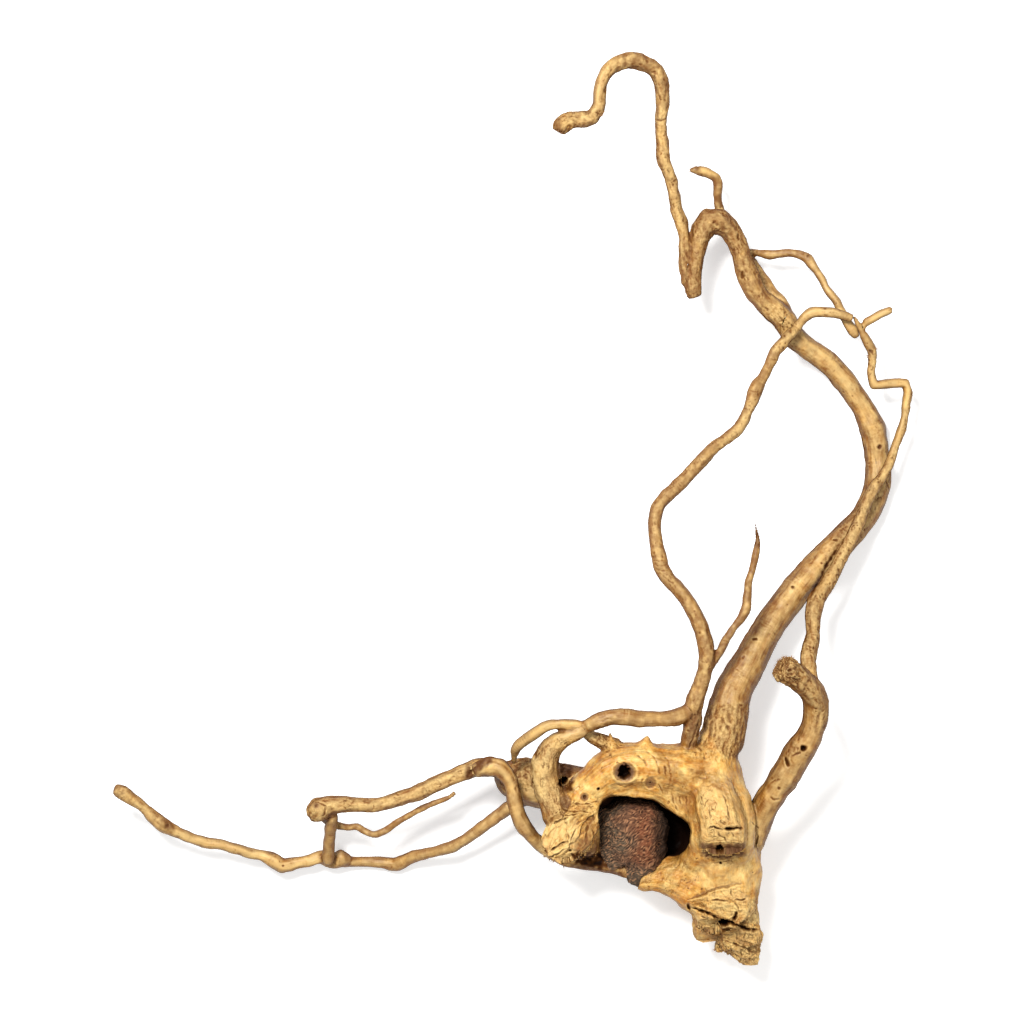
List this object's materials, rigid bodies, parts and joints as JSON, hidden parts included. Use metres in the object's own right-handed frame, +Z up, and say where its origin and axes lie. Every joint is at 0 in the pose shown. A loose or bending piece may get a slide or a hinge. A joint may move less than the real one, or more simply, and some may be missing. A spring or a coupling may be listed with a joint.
{
  "type": "aquarium driftwood root",
  "caption": "Gnarled aquarium root: a hollow knotted crown with one thick crooked stem, a sawn-off arm, a hoop and thin winding branches, lying flat.",
  "frame": {"origin": "middle of the bounding box on the surface that the root lies on", "axes": "+Z up from the table; +Y along the longest extent, from the crown's broken foot to the hooked branch; the long low branch points to -X"},
  "size_m": [0.5284, 0.5982, 0.0988],
  "materials": {
    "crown_wood": "matte",
    "stem_wood": "matte",
    "branch_wood": "matte",
    "twig_wood": "matte",
    "shaded_wood": "matte",
    "bark": "matte"
  },
  "bodies": {
    "root": {"crown": "crown_wood", "shoulder": "crown_wood", "foot": "crown_wood", "inner_stump": "bark", "main_stem": "stem_wood", "upper_arch": "stem_wood", "hook_branch": "branch_wood", "back_strand": "shaded_wood", "outer_twig": "twig_wood", "long_runner": "branch_wood", "spike_twig": "branch_wood", "crooked_twig": "twig_wood", "twig_spur": "twig_wood", "stub_arm": "stem_wood", "hoop": "branch_wood", "hoop_tip": "twig_wood", "left_arm": "branch_wood", "left_root": "shaded_wood", "upper_left_branch": "branch_wood", "loop_branch": "twig_wood", "low_branch": "branch_wood", "cross_link": "branch_wood", "thin_back_twig": "twig_wood", "bridge_stub": "shaded_wood"}
  },
  "joints": []
}
